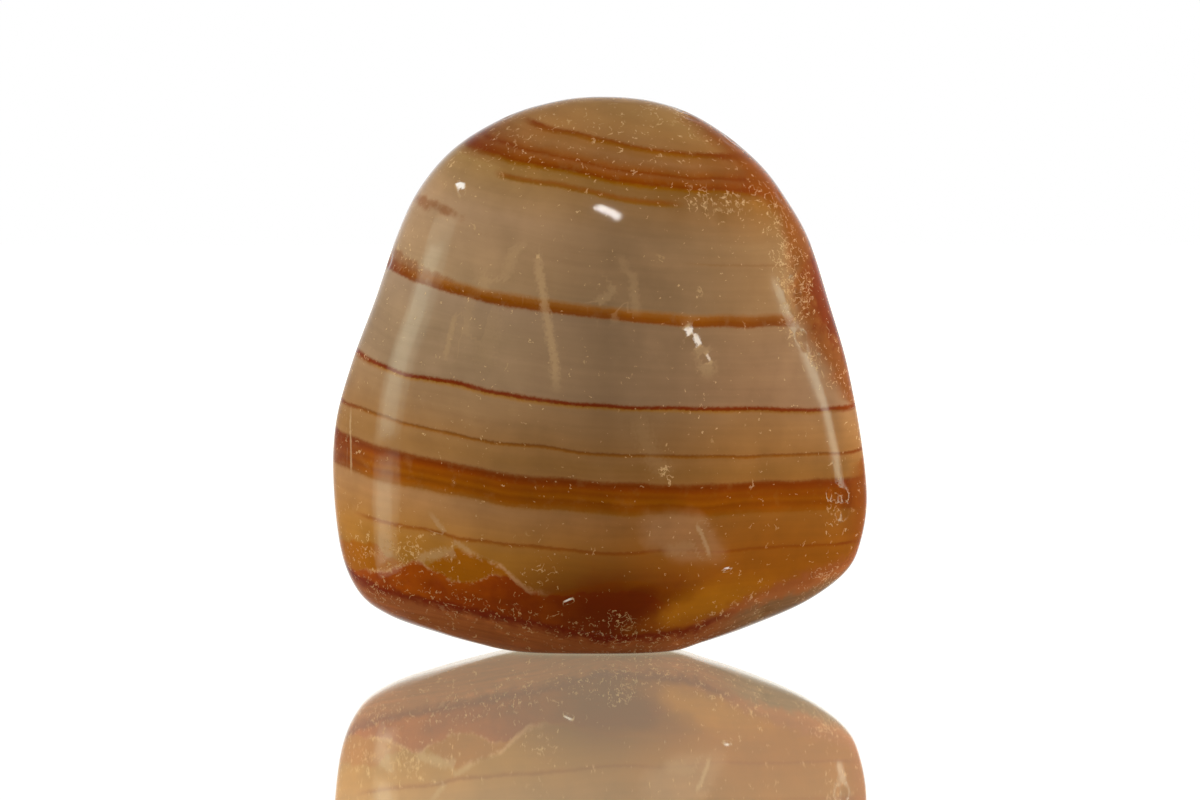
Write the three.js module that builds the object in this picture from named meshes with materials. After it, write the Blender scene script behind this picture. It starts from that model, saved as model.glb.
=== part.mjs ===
// A tumbled sardonyx: a rounded, flattened pyramid of banded chalcedony that stands on its worn foot.
// Millimetres, +Z up, the broad banded face looks along -Y. The origin is on the ground, under the middle of the stone.
import * as THREE from "three";
import { mergeVertices } from "three/addons/utils/BufferGeometryUtils.js";

// Outline of the stone seen along +Y, as x and z, clockwise from the crown.
// Its lowest points lie under the ground, where the foot is worn off.
const OUTLINE = [
  [0.1, 30.0], [3.1, 29.7], [5.8, 28.6], [8.5, 26.5], [10.2, 24.3], [11.4, 22.1], [12.4, 19.0], [13.4, 15.6],
  [14.2, 11.4], [14.5, 8.3], [14.2, 6.0], [13.4, 4.3], [11.3, 2.7], [8.4, 1.4], [5.6, 0.4], [2.0, -0.8],
  [-2.5, -0.8], [-5.5, 0.0], [-8.6, 0.9], [-11.4, 1.9], [-13.1, 3.2], [-14.1, 5.6], [-14.5, 9.6], [-14.3, 12.6],
  [-13.4, 15.8], [-12.2, 19.0], [-11.1, 22.2], [-9.9, 24.8], [-8.0, 27.1], [-5.3, 28.8], [-2.6, 29.7],
];
const MIDDLE_HEIGHT = 13.0; // height of the point that the outline is measured round

// Worn faces. Each is a plane: its depth at the middle, and what that gains for each mm of x and of z.
const FRONT_FACES = [
  { depth: 8.8, alongX: 0.25, alongZ: 0.03 }, // broad left face
  { depth: 8.5, alongX: -0.37, alongZ: 0.07 }, // broad right face
  { depth: 17.6, alongX: 0.0, alongZ: -0.74 }, // crown
  { depth: 17.0, alongX: 0.95, alongZ: 0.0 }, // left flank
  { depth: 12.8, alongX: 0.0, alongZ: 0.5 }, // underside
];
const BACK_FACES = [
  { depth: 8.9, alongX: 0.16, alongZ: -0.03 }, // broad face behind the left side
  { depth: 9.1, alongX: -0.2, alongZ: 0.02 }, // broad face behind the right side
  { depth: 16.5, alongX: 0.0, alongZ: -0.7 }, // crown
  { depth: 15.5, alongX: -0.8, alongZ: 0.0 }, // right flank
  { depth: 12.8, alongX: 0.0, alongZ: 0.5 }, // underside
];
const FACE_SHARPNESS = 9; // a higher power leaves a sharper ridge between two faces
const THINNEST = 0.5; // least depth that a face may reach, far outside its own part of the stone
const SIDE_FULLNESS = 3.0; // power of the rounding from face to rim: 2 is an ellipse, more is squarer
const END_FULLNESS = 0.7; // what crown and foot add to that power

const CURVE_STEPS = 24; // points of the outline's curve for each of its given points
const MESH_DETAIL = 18; // cuts of each edge of the icosahedron that the mesh starts from

// The outline's distance from the middle, as a list of [angle, distance] that goes once round.
function outlineReach() {
  const corners = OUTLINE.map(([x, z]) => new THREE.Vector3(x, 0, z - MIDDLE_HEIGHT));
  const curve = new THREE.CatmullRomCurve3(corners, true, "catmullrom", 0.5);
  const around = curve.getPoints(CURVE_STEPS * OUTLINE.length).slice(1);
  return around.map((p) => [Math.atan2(p.z, p.x), Math.hypot(p.x, p.z)]).sort((a, b) => a[0] - b[0]);
}

// The distance at one angle, read from that list by straight interpolation.
function reachAt(reach, angle) {
  const after = reach.findIndex(([known]) => known >= angle);
  const [highAngle, high] = reach[after < 0 ? 0 : after];
  const [lowAngle, low] = reach.at((after < 0 ? 0 : after) - 1);
  const span = THREE.MathUtils.euclideanModulo(highAngle - lowAngle, 2 * Math.PI);
  const part = THREE.MathUtils.euclideanModulo(angle - lowAngle, 2 * Math.PI) / span;
  return THREE.MathUtils.lerp(low, high, part);
}

// How deep the stone is at x and z: the least of the faces' depths, with the ridges between them rounded.
function faceDepth(faces, x, z) {
  const total = faces.reduce((sum, { depth, alongX, alongZ }) => {
    const plane = Math.max(depth + alongX * x + alongZ * z, THINNEST);
    return sum + plane ** -FACE_SHARPNESS;
  }, 0);
  return total ** (-1 / FACE_SHARPNESS);
}

// Moves a point of the unit sphere to the surface of the stone. Seen along +Y the sphere's disc is stretched
// to the outline, and its depth becomes that of the worn faces, rounded off towards the rim.
function toStone(point, reach) {
  const fromMiddle = Math.min(Math.hypot(point.x, point.z), 1);
  const angle = Math.atan2(point.z, point.x);
  const distance = fromMiddle * reachAt(reach, angle);
  const x = distance * Math.cos(angle);
  const z = distance * Math.sin(angle);
  const fullness = SIDE_FULLNESS + END_FULLNESS * Math.sin(angle) ** 2;
  const rounding = (1 - fromMiddle ** fullness) ** (1 / fullness);
  const depth = point.y < 0 ? -faceDepth(FRONT_FACES, x, z) : faceDepth(BACK_FACES, x, z);
  point.set(x, depth * rounding, Math.max(z + MIDDLE_HEIGHT, 0));
}

function stoneGeometry() {
  const sphere = new THREE.IcosahedronGeometry(1, MESH_DETAIL);
  sphere.deleteAttribute("normal");
  sphere.deleteAttribute("uv");
  const geometry = mergeVertices(sphere, 1e-5);
  const reach = outlineReach();
  const positions = geometry.getAttribute("position");
  const point = new THREE.Vector3();
  for (let i = 0; i < positions.count; i++) {
    point.fromBufferAttribute(positions, i);
    toStone(point, reach);
    positions.setXYZ(i, point.x, point.y, point.z);
  }
  geometry.computeVertexNormals();
  return geometry;
}

const polishedChalcedony = new THREE.MeshStandardMaterial({ color: 0x9c7248, roughness: 0.2, metalness: 0.0 });

const stone = new THREE.Mesh(stoneGeometry(), polishedChalcedony);
stone.name = "sardonyx_stone";

const group = new THREE.Group();
group.add(stone);

export default group;
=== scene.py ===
"""A tumbled sardonyx standing on a pale glossy floor in soft side light.

The stone is worked out in millimetres with the formula of its solid, given fine worn relief, and put into
the mesh in metres. Where its stains, healed cracks, wear, painted shade, painted glow and painted glints lie
is worked out at each point of the mesh and kept as attributes, which the stone's material reads.
"""

import bpy
import numpy as np
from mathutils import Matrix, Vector


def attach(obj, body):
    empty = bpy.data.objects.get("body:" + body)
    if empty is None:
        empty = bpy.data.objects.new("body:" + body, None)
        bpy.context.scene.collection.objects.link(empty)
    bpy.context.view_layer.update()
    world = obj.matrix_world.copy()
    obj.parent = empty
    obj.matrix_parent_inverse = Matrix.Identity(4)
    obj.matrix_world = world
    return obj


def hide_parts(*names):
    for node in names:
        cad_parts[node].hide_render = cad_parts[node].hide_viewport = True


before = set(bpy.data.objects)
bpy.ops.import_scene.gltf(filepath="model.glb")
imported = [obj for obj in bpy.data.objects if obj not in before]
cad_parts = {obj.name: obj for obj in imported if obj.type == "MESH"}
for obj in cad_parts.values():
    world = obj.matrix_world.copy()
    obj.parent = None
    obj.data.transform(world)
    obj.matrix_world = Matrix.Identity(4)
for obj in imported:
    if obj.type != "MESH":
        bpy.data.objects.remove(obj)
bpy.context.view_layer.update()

MM = 0.001  # metres in a millimetre
RANDOM_SEED = 11

# Camera: on the level of the stone's upper half, looking 2 degrees down
CAMERA_PLACE = (0.0, -300.0, 23.5)
CAMERA_TARGET = (0.0, 0.0, 13.53)
CAMERA_LENS = 166.4  # focal length in mm
CAMERA_SENSOR = 36.0  # width in mm
CAMERA_NEAR = 10.0  # nearest distance that is seen, in mm

# Lamps: linear colours, and the place in mm that they point at where none is given
WHITE = (1.0, 1.0, 1.0)
STRIP_COLOUR = (0.92, 1.0, 0.78)
LIT_MIDDLE = (0, 0, 14)

# Floor, in mm: half width, the distances from the stone where its glow is weakest and strongest, and both
# strengths. The glow is painted light, a pale veil over the floor's mirror image; being weakest near the
# stone, it also paints a soft darker halo round it.
FLOOR_HALF = 4000.0
FLOOR_GLOW_REACH = (90.0, 500.0)
FLOOR_GLOW = (0.19, 0.7)

# Outline of the stone seen along +Y, as x and z, clockwise from the crown
OUTLINE = [
    (0.1, 30.0), (3.1, 29.7), (5.8, 28.6), (8.5, 26.5), (10.2, 24.3), (11.4, 22.1), (12.4, 19.0),
    (13.4, 15.6), (14.2, 11.4), (14.5, 8.3), (14.2, 6.0), (13.4, 4.3), (11.3, 2.7), (8.4, 1.4),
    (5.6, 0.4), (2.0, -0.8), (-2.5, -0.8), (-5.5, 0.0), (-8.6, 0.9), (-11.4, 1.9), (-13.1, 3.2),
    (-14.1, 5.6), (-14.5, 9.6), (-14.3, 12.6), (-13.4, 15.8), (-12.2, 19.0), (-11.1, 22.2),
    (-9.9, 24.8), (-8.0, 27.1), (-5.3, 28.8), (-2.6, 29.7),
]
MIDDLE_HEIGHT = 13.0  # height of the point that the outline is measured round
CURVE_STEPS = 24  # points of the outline's curve for each of its given points

# Worn faces: depth at the middle, and what that gains for each mm of x and of z
FRONT_FACES = [
    (8.8, 0.25, 0.03),  # broad left face
    (8.5, -0.37, 0.07),  # broad right face
    (17.6, 0.0, -0.74),  # crown
    (17.0, 0.95, 0.0),  # left flank
    (12.8, 0.0, 0.5),  # underside
]
BACK_FACES = [
    (8.9, 0.16, -0.03),  # broad face behind the left side
    (9.1, -0.2, 0.02),  # broad face behind the right side
    (16.5, 0.0, -0.7),  # crown
    (15.5, -0.8, 0.0),  # right flank
    (12.8, 0.0, 0.5),  # underside
]
FACE_SHARPNESS = 9.0  # a higher power leaves a sharper ridge between two faces
THINNEST = 0.5  # least depth that a face may reach, far outside its own part of the stone
SIDE_FULLNESS = 3.0  # power of the rounding from face to rim: 2 is an ellipse, more is squarer
END_FULLNESS = 0.7  # what crown and foot add to that power
FOOT_ROUNDING = 0.35  # size in mm of the rounding between the foot and the stone above it

# Mesh: cells across the stone, from front to back at its rim, and up it
CELLS_ACROSS = 160
CELLS_DEEP = 76
CELLS_UP = 160
FRONT_REACH = 0.6  # half depth of the box that the mesh's grids are laid on, next to its half width of 1
DEPTH_SPACING = 1.5  # power that draws the grids' lines together where front and back meet

# Worn relief, in mm
LEAST_WEAR = 0.015  # how far the finished face lies inside the solid at least
SLOW_WAVE = (6.5, 0.025)  # size and half height of the polish's slow waves
QUICK_WAVE = (1.6, 0.008)
WAVE_REPEAT = 24  # number of sizes after which a wave's random values repeat
DENTS = 150
DENT_RADII = (0.22, 0.75)
DENT_STEEPNESS = 0.11  # depth of a dent for each mm of its radius
DENT_EVENNESS = 0.05  # what the chance of a dent has besides the wear at its place
FOOT_FADE = 0.4  # height over which the wear starts above the flat foot

FRONT_FADE = 1.0  # half the depth at the rim over which stains and painted patches of the front fade out
BOUNDARY_FADE = 1.5  # half the depth at the rim over which a front boundary turns into the back one
FAR_OUTSIDE = 5.0  # what the field of a stain, painted shade or painted glow loses where it may not reach

# Bands: they lean back, and they fan out from a line far to the right
BAND_LEAN_BACK = 0.2
BAND_SLOPE = 0.04
BAND_FAN = 0.0045
BAND_SWAY = 0.5  # height in mm of the bands' slow swells
BAND_JAGS = 0.16  # height in mm of the finest jags along them
TOP_BAND = 30.0  # highest level of the bands, in mm

# Levels of the bands and the colour between them, on the greyer left side and on the warmer right side
GROUND_LEFT = [
    (0.0, "#7e4f22"), (5.0, "#94611f"), (6.6, "#a46e2c"), (8.8, "#a4764a"), (11.6, "#93693b"),
    (12.6, "#966d42"), (13.9, "#95724e"), (15.0, "#947351"), (15.3, "#917558"), (18.0, "#93785b"),
    (19.6, "#94795f"), (20.4, "#9a7c5b"), (24.0, "#a08060"), (26.4, "#967345"), (28.4, "#96693a"),
    (30.0, "#9a7245"),
]
GROUND_RIGHT = [
    (0.0, "#7a4a24"), (5.0, "#99560e"), (6.6, "#8c4e10"), (8.8, "#8a521a"), (11.6, "#8e5f2d"),
    (12.6, "#906233"), (13.9, "#93673b"), (15.0, "#946a42"), (15.3, "#916c4c"), (18.0, "#926e4d"),
    (19.6, "#946f4c"), (20.4, "#956f48"), (24.0, "#967047"), (26.4, "#8a5a24"), (28.4, "#8c5a2a"),
    (30.0, "#99713f"),
]
WARMTH_RANGE = (-9.0, 9.0)  # from the x of the left colours to the x of the right ones

# Coloured lines: level, colour and cover, listed upwards. The ramps between them are straight.
LOW_LINES_RANGE = (6.0, 16.0)
LOW_LINES = [
    (7.0, "#94560c", 0.0), (7.14, "#8a4806", 0.75), (7.22, "#843e08", 0.75), (7.32, "#84400c", 0.0),
    (9.1, "#94601c", 0.0), (9.28, "#8a4e06", 0.85), (9.5, "#8c4a02", 1.0), (9.75, "#824202", 1.0),
    (9.95, "#904e02", 1.0), (10.2, "#864202", 1.0), (10.4, "#8a4602", 1.0), (10.58, "#823a02", 1.0),
    (10.78, "#743002", 1.0), (10.92, "#7a3a0c", 0.9), (11.08, "#7a4522", 0.0),
    (12.34, "#945c10", 0.0), (12.46, "#8a4e08", 0.85), (12.54, "#74400c", 0.9), (12.64, "#7a4a22", 0.0),
    (14.78, "#9a6a1a", 0.0), (14.94, "#94600e", 0.75), (15.0, "#6f2a06", 1.0), (15.12, "#6f280c", 1.0),
    (15.25, "#7a4522", 0.0),
]
HIGH_LINES_RANGE = (19.0, 29.0)
HIGH_LINES = [
    (19.56, "#8a4c08", 0.0), (19.7, "#743804", 0.95), (19.9, "#7e4203", 1.0), (20.15, "#8c5006", 0.85),
    (20.42, "#94601c", 0.0),
    (22.92, "#7c5226", 0.0), (23.02, "#7c5226", 0.35), (23.12, "#7c5226", 0.0),
    (25.9, "#8a6014", 0.0), (26.04, "#7e4c08", 0.9), (26.18, "#824408", 0.85), (26.36, "#7c4e12", 0.35),
    (26.68, "#7c500c", 0.35), (26.84, "#804e04", 0.95), (27.0, "#763402", 1.0), (27.2, "#7f4008", 0.95),
    (27.38, "#84481a", 0.85), (27.52, "#783602", 0.95), (27.68, "#824204", 0.7),
    (28.1, "#8a5c34", 0.35), (28.42, "#8e5a20", 0.35), (28.54, "#86500a", 0.95), (28.7, "#7c3c04", 0.95),
    (28.84, "#84480c", 0.0),
]

# Lines that end inside the front: the levels round them, and the x where they are whole and where gone
LINE_ENDS = [
    ((25.6, 25.8, 26.4, 26.6), (3.4, 4.8)),
    ((25.6, 25.8, 26.4, 26.6), (-5.0, -5.7)),
    ((28.3, 28.4, 28.9, 29.0), (-3.4, -4.4)),
    ((22.8, 22.9, 23.2, 23.4), (6.0, 4.0)),
    ((19.2, 19.6, 20.6, 21.0), (10.1, 10.8)),
    ((6.8, 7.0, 7.3, 7.5), (-12.0, -13.5)),
]

# Upper boundaries of the stains at the foot, as x and z: on the front and on the back
AMBER_FRONT = [
    (-14.5, 6.0), (-12.0, 6.0), (-11.4, 5.3), (-10.6, 5.0), (-9.2, 4.8), (-8.7, 5.2), (-7.6, 5.9),
    (-6.5, 5.4), (-5.2, 4.9), (-4.6, 4.3), (-3.9, 3.7), (-2.9, 3.4), (-1.0, 3.8), (1.5, 4.2),
    (4.0, 3.6), (8.0, 3.2), (11.5, 3.6), (14.5, 4.5),
]
AMBER_BACK = [
    (-14.5, 6.0), (-11.0, 6.8), (-7.0, 5.6), (-3.0, 4.9), (1.0, 6.1), (5.0, 5.0), (9.0, 5.6), (14.5, 4.5),
]
RUST_FRONT = [
    (-14.5, 4.5), (-11.5, 4.5), (-10.7, 4.8), (-10.1, 5.1), (-9.6, 5.1), (-9.2, 4.7), (-8.5, 4.4),
    (-7.9, 4.1), (-6.9, 4.0), (-6.3, 4.2), (-5.7, 4.5), (-5.1, 4.5), (-4.7, 4.3), (-4.0, 3.7),
    (-2.9, 3.3), (-1.0, 3.5), (2.0, 3.6), (4.2, 2.6), (6.0, 1.7), (8.0, 1.9), (11.0, 2.6), (14.5, 3.2),
]
RUST_BACK = [
    (-14.5, 4.5), (-10.0, 5.4), (-6.0, 3.9), (-2.0, 3.8), (1.0, 4.8), (5.0, 3.6), (9.0, 4.4), (14.5, 3.6),
]

# Line along which the stone bends in to its underside, as x and z
BEVEL_FRONT = [
    (-14.5, 5.4), (-13.1, 4.2), (-11.8, 3.6), (-10.4, 3.3), (-7.7, 2.8), (-5.3, 2.3), (-3.2, 1.9),
    (-1.3, 1.4), (0.0, 1.1), (2.7, 1.2), (5.2, 1.6), (6.5, 2.2), (8.0, 2.9), (9.2, 3.3), (11.1, 3.7),
    (13.2, 4.6), (14.5, 5.4),
]
BEVEL_BACK = [(-14.5, 5.4), (-11.0, 3.8), (-6.0, 2.2), (0.0, 1.4), (6.0, 2.0), (11.0, 3.6), (14.5, 5.4)]
RIGHT_UNDERSIDE = (5.5, 8.5)  # x from which the underside turns paler, and at which it has done so

# Upper boundary of the pinkish stain at the right of the foot, as x and z. It is on the front alone.
PINK_FRONT = [
    (-14.5, -9.0), (4.6, -1.0), (5.0, 1.6), (7.6, 2.9), (9.7, 3.9), (11.3, 4.4), (13.0, 4.9), (14.5, 6.0),
]

# Left boundary of the orange stain along the right edge, as z and x
EDGE_FRONT = [
    (0.0, 14.4), (6.0, 13.5), (9.0, 13.4), (10.2, 13.9), (10.8, 15.4), (12.9, 15.4), (13.6, 13.2),
    (14.6, 12.6), (16.2, 11.5), (17.4, 10.7), (19.5, 10.5), (21.7, 10.2), (23.5, 9.6), (24.6, 8.8),
    (26.5, 7.0), (28.6, 4.6),
]
EDGE_BACK = [(0.0, 14.9), (9.0, 13.6), (13.0, 12.0), (17.0, 11.2), (21.0, 9.4), (25.0, 7.0), (28.6, 4.6)]

# Patches, each as x, z, half width, half height, turn in degrees and strength: rust wisps at the upper left,
# the dark zone at the foot, a golden glow there that is painted light coming through the thin foot, the pale
# shard at the foot, painted shade that darkens and greys the middle, and crowded bruises
LEFT_RUST = [
    (-9.5, 24.3, 0.5, 0.3, -25, 0.5),
    (-8.5, 23.95, 0.9, 0.16, -25, 0.3),
    (-11.2, 21.4, 0.9, 0.45, -20, 0.8),
    (-10.0, 20.8, 1.1, 0.3, -24, 0.7),
    (-8.9, 20.4, 1.0, 0.16, -18, 0.5),
]
DARK_PATCHES = [(0.9, 2.7, 4.6, 1.9, 0, 1.0), (1.9, 3.0, 1.9, 1.1, 20, 1.5)]
# painted light: an orange glow low on the right of the front, where light comes through the thin foot
PAINTED_GLOW_PATCHES = [(5.6, 2.7, 2.9, 0.85, 18, 1.0)]
SHARD_PATCHES = [(4.3, 6.5, 2.1, 1.3, -20, 1.0)]
# painted shade: a darker, greyer patch over the middle of the front
SHADED_MIDDLE_PATCHES = [(2.3, 19.0, 4.6, 7.0, 0, 1.0)]
WORN_SPOTS = [
    (5.6, 24.4, 3.2, 1.1, -8, 1.4),
    (-10.6, 5.6, 3.6, 1.6, -10, 1.1),
    (-3.0, 4.6, 1.6, 1.0, 0, 0.6),
    (12.0, 3.9, 2.2, 1.0, 25, 1.2),
    (1.4, 1.9, 1.5, 0.8, 0, 1.5),
    (-10.3, 21.0, 1.6, 0.9, -20, 0.8),
    (12.6, 8.2, 1.4, 3.0, 0, 0.6),
    (3.4, 9.9, 0.9, 0.6, -45, 1.2),
]

# Dark red patches on the right rim, with y in place of x, and the x over which they start
RED_EDGE = [(-0.9, 19.2, 2.1, 2.6, 0, 1.3), (-0.3, 16.6, 1.0, 1.4, 10, 0.8)]
RED_EDGE_START = (5.0, 7.0)

# Parts of the stains' boundaries that healed with a cream line: the x over which it starts and ends, and
# half its width
HEALED = {"amber": (-7.6, -6.8, -3.4, -2.4), "rust": (-13.0, -12.0, -6.0, -5.0)}
HEALED_WIDTHS = {"amber": 0.22, "rust": 0.16}

# Pale healed cracks, feathers and large bruises on the front, and painted glints: half width, strength, and
# the path as x and z. A strength above 1 turns one from cream to frosted white.
PALE_PATHS_AND_GLINTS = [
    (0.24, 0.5, [(-3.4, 22.2), (-3.3, 21.4), (-3.2, 20.4), (-3.0, 19.3), (-2.7, 17.5), (-2.4, 15.9),
                 (-2.3, 13.8)]),
    (0.4, 0.26, [(-6.6, 19.3), (-5.9, 20.3), (-5.2, 21.0), (-4.4, 22.3)]),
    (0.3, 0.3, [(-5.2, 19.6), (-4.8, 20.8), (-4.3, 22.3)]),
    (0.2, 0.25, [(-4.4, 19.9), (-4.3, 21.0), (-4.0, 22.3)]),
    (0.14, 0.3, [(-8.3, 15.6), (-7.9, 17.4), (-7.6, 18.6)]),
    (0.6, 0.14, [(-6.2, 15.2), (-6.0, 17.0), (-5.5, 19.0)]),
    (0.3, 0.16, [(-7.4, 16.8), (-7.0, 18.2), (-6.8, 19.6)]),
    (0.26, 0.26, [(-0.3, 18.5), (0.0, 19.0), (0.5, 19.3), (0.9, 20.0)]),
    (0.22, 0.24, [(0.0, 19.8), (0.3, 19.0), (0.7, 18.5), (0.9, 17.7)]),
    (0.26, 0.2, [(1.6, 20.9), (1.8, 20.0), (1.8, 19.0), (2.0, 18.0)]),
    (0.26, 0.14, [(0.9, 21.7), (1.3, 20.9), (1.5, 20.0), (2.2, 18.5)]),
    (0.14, 0.4, [(-9.2, 7.9), (-8.5, 7.0), (-8.0, 6.4), (-7.2, 5.9), (-6.5, 5.5)]),
    (0.3, 0.45, [(-10.0, 5.2), (-8.8, 5.5), (-7.3, 5.7)]),
    (0.12, 0.45, [(5.0, 7.3), (5.35, 6.7), (5.65, 6.0), (5.9, 5.2)]),
    (0.35, 0.14, [(5.9, 5.9), (4.9, 6.0), (3.2, 5.6)]),
    (0.5, 0.1, [(1.9, 13.3), (2.3, 11.9), (2.9, 10.6), (3.9, 9.6)]),
    (0.05, 0.6, [(-13.42, 13.4), (-13.45, 12.0), (-13.4, 11.0), (-13.4, 9.4)]),
    # painted highlight: the broken glint right of the middle, as frosted white dashes and a pale haze
    (0.16, 1.75, [(4.6, 17.7), (4.75, 17.4), (4.85, 17.1)]),
    (0.14, 1.7, [(5.0, 17.3), (5.2, 16.9), (5.35, 16.5)]),
    (0.07, 1.4, [(5.6, 16.3), (5.75, 16.0), (5.95, 15.7)]),
    (0.45, 0.3, [(4.5, 18.3), (4.9, 17.2), (5.5, 16.2), (5.9, 14.6)]),
    (0.16, 2.0, [(-7.75, 25.0), (-7.45, 25.15), (-7.1, 25.1)]),
    # painted glints: two tiny white flecks at the foot
    (0.045, 1.8, [(-2.0, 3.0), (-1.7, 3.1), (-1.4, 3.25)]),
    (0.04, 2.0, [(6.55, 4.66), (6.8, 4.7), (7.0, 4.78)]),
]
PATH_FADE = 0.2  # share of a path over which its pale mark fades in and out
PATH_REACH = 3.0  # half widths from a path at which its pale mark starts to fade out
PATH_FEATHER = 2.0  # half widths over which it does so

# How thickly bruises lie at the least, all round the rim, along the bevel and on the crown
LEAST_CROWD = 0.03
RIM_CROWD = 0.12
BEVEL_CROWD = 0.42
CROWN_CROWD = 0.2

# Noises in the stone: swells along a millimetre, detail and roughness
NOISES = {
    "slow": (0.28, 1.0, 0.5),  # sways the bands
    "patchy": (0.55, 3.0, 0.5),  # clouds, crowds of bruises and the edges of soft stains
    "ragged": (1.6, 4.0, 0.6),  # edges of crisp stains
    "fine": (5.0, 3.0, 0.6),  # jags of the lines and grain of the polish
}
SWELLS_ALONG = 0.1  # swells along a millimetre of x in the thin sheets and streaks

# Stains, painted shade and painted glow in the order in which they are laid on: field, noise that bends the
# edge, colour, how far the edge wanders, how softly it fades, and strength
# painted shade over the middle of the front
PAINTED_SHADE_ON_GROUND = [("shaded_middle", "patchy", "#6c5640", 0.8, 1.3, 0.5)]
SIDE_STAINS = [
    ("shard", "patchy", "#a47a56", 0.8, 0.6, 0.42),
    ("edge_stain", "patchy", "#7c3e0a", 1.6, 1.0, 0.85),
    ("red_edge", "ragged", "#661f08", 1.6, 0.7, 0.75),
    ("left_rust", "ragged", "#7c441c", 1.4, 0.6, 0.6),
    ("amber", "ragged", "#985504", 0.6, 0.2, 0.92),
]
FOOT_STAINS_AND_GLOW = [
    ("dark", "patchy", "#5c1d02", 0.9, 1.6, 0.9),
    # painted glow: light coming through the thin foot, low on the right
    ("painted_glow", "patchy", "#a0600f", 1.2, 1.3, 0.95),
    ("pink", "ragged", "#945028", 1.0, 0.7, 0.85),
]
FOOT_WANDER = 0.6  # how far the edges of the amber, the rust and the bevel wander
UNDERSIDE_DEPTH = 0.42  # how far below the bevel's line the underside's own colour starts

# Kinds of bruise, in mm: size of the cells that hold one each, radius of its bow, half its length and width
BRUISES = [(0.7, 0.6, 0.34, 0.045), (0.42, 0.35, 0.2, 0.04), (0.28, 0.06, 0.07, 0.04)]
BRUISE_SHARE = 0.55  # how thickly bruises lie, next to scratches
BRUISE_BEND = 0.6  # how far a noise bends the bruises, in mm
MARK_COVER = 0.85  # how much of a mark's colour covers the stone's
SCRATCH_DEPTH = 4.0  # next to the height of the polish's grain
GRAIN_HEIGHT = 0.0022  # in mm

# Polish: roughness between the marks, and what a mark adds. The level is low because a worn polish is dull.
POLISH_ROUGHNESS = 0.09
MARK_ROUGHNESS = 0.3
CHALCEDONY_IOR = 1.54
POLISH_LEVEL = 0.08


def outline_reach(angle):
    """Distance of the outline from the middle at each angle.

    A closed Catmull-Rom curve runs through the outline's points. Straight interpolation reads it by angle.
    """
    corners = np.array(OUTLINE) - (0.0, MIDDLE_HEIGHT)
    before = np.roll(corners, 1, axis=0)[:, None]
    start = corners[:, None]
    end = np.roll(corners, -1, axis=0)[:, None]
    after = np.roll(corners, -2, axis=0)[:, None]
    t = np.linspace(0, 1, CURVE_STEPS, endpoint=False)[None, :, None]
    linear_part = (end - before) * t
    square_part = (2 * before - 5 * start + 4 * end - after) * t**2
    cube_part = (3 * start - before - 3 * end + after) * t**3
    curve = (start + 0.5 * (linear_part + square_part + cube_part)).reshape(-1, 2)
    around = np.arctan2(curve[:, 1], curve[:, 0])
    return np.interp(angle, around, np.hypot(curve[:, 0], curve[:, 1]), period=2 * np.pi)


def face_depth(faces, x, z):
    """The least of the faces' depths at x and z, with the ridges between them rounded by a power mean."""
    total = 0.0
    for depth, along_x, along_z in faces:
        total = total + np.maximum(depth + along_x * x + along_z * z, THINNEST) ** -FACE_SHARPNESS
    return total ** (-1 / FACE_SHARPNESS)


def way_to_rim(directions):
    """How far a point of the unit sphere lies on the way from the middle, 0, to the rim, 1, seen along +Y."""
    return np.minimum(np.hypot(directions[:, 0], directions[:, 2]), 1)


def stone_points(directions):
    """Moves points of the unit sphere to the surface of the stone, in mm.

    Seen along +Y the sphere's disc is stretched to the outline. The depth is that of the worn faces, rounded
    off towards the rim as (1 - distance^fullness)^(1/fullness). What lies under the ground is worn off flat.
    """
    to_rim = way_to_rim(directions)
    angle = np.arctan2(directions[:, 2], directions[:, 0])
    distance = to_rim * outline_reach(angle)
    x = distance * np.cos(angle)
    z = distance * np.sin(angle)
    fullness = SIDE_FULLNESS + END_FULLNESS * np.sin(angle) ** 2
    rounding = (1 - to_rim**fullness) ** (1 / fullness)
    depth = np.where(directions[:, 1] < 0, -face_depth(FRONT_FACES, x, z), face_depth(BACK_FACES, x, z))
    height = z + MIDDLE_HEIGHT
    lifted = (height + np.hypot(height, FOOT_ROUNDING)) / 2
    return np.stack([x, depth * rounding, lifted - lifted.min()], axis=1)


def closed_grid():
    """Directions from the middle and the four-sided faces between them, as a closed surface.

    The six sides of a box each carry a grid. Its lines are spaced by the tangent across and up, and by a
    power in depth, which spreads them evenly over the rim. Points that two sides share are merged.
    """
    turn = np.pi / 4
    across = np.tan(np.linspace(-turn, turn, CELLS_ACROSS + 1))
    up = np.tan(np.linspace(-turn, turn, CELLS_UP + 1))
    even = np.linspace(-1, 1, CELLS_DEEP + 1)
    lines = [across, FRONT_REACH * np.sign(even) * np.abs(even) ** DEPTH_SPACING, up]
    half = (1.0, FRONT_REACH, 1.0)
    points = []
    faces = []
    count = 0
    for axis in range(3):
        first, second = [i for i in range(3) if i != axis]
        for side in (-1, 1):
            grid = np.zeros((len(lines[first]), len(lines[second]), 3))
            grid[..., first] = lines[first][:, None]
            grid[..., second] = lines[second][None, :]
            grid[..., axis] = side * half[axis]
            index = count + np.arange(grid[..., 0].size).reshape(grid.shape[:2])
            count += index.size
            quads = np.stack([index[:-1, :-1], index[1:, :-1], index[1:, 1:], index[:-1, 1:]], axis=-1)
            outward = side if axis != 1 else -side
            points.append(grid.reshape(-1, 3))
            faces.append(quads.reshape(-1, 4)[:, ::outward])
    points = np.concatenate(points)
    kept, merged = np.unique(points.round(7), axis=0, return_inverse=True)
    kept = kept / np.linalg.norm(kept, axis=1, keepdims=True)
    return kept, merged.reshape(-1)[np.concatenate(faces)]


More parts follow.
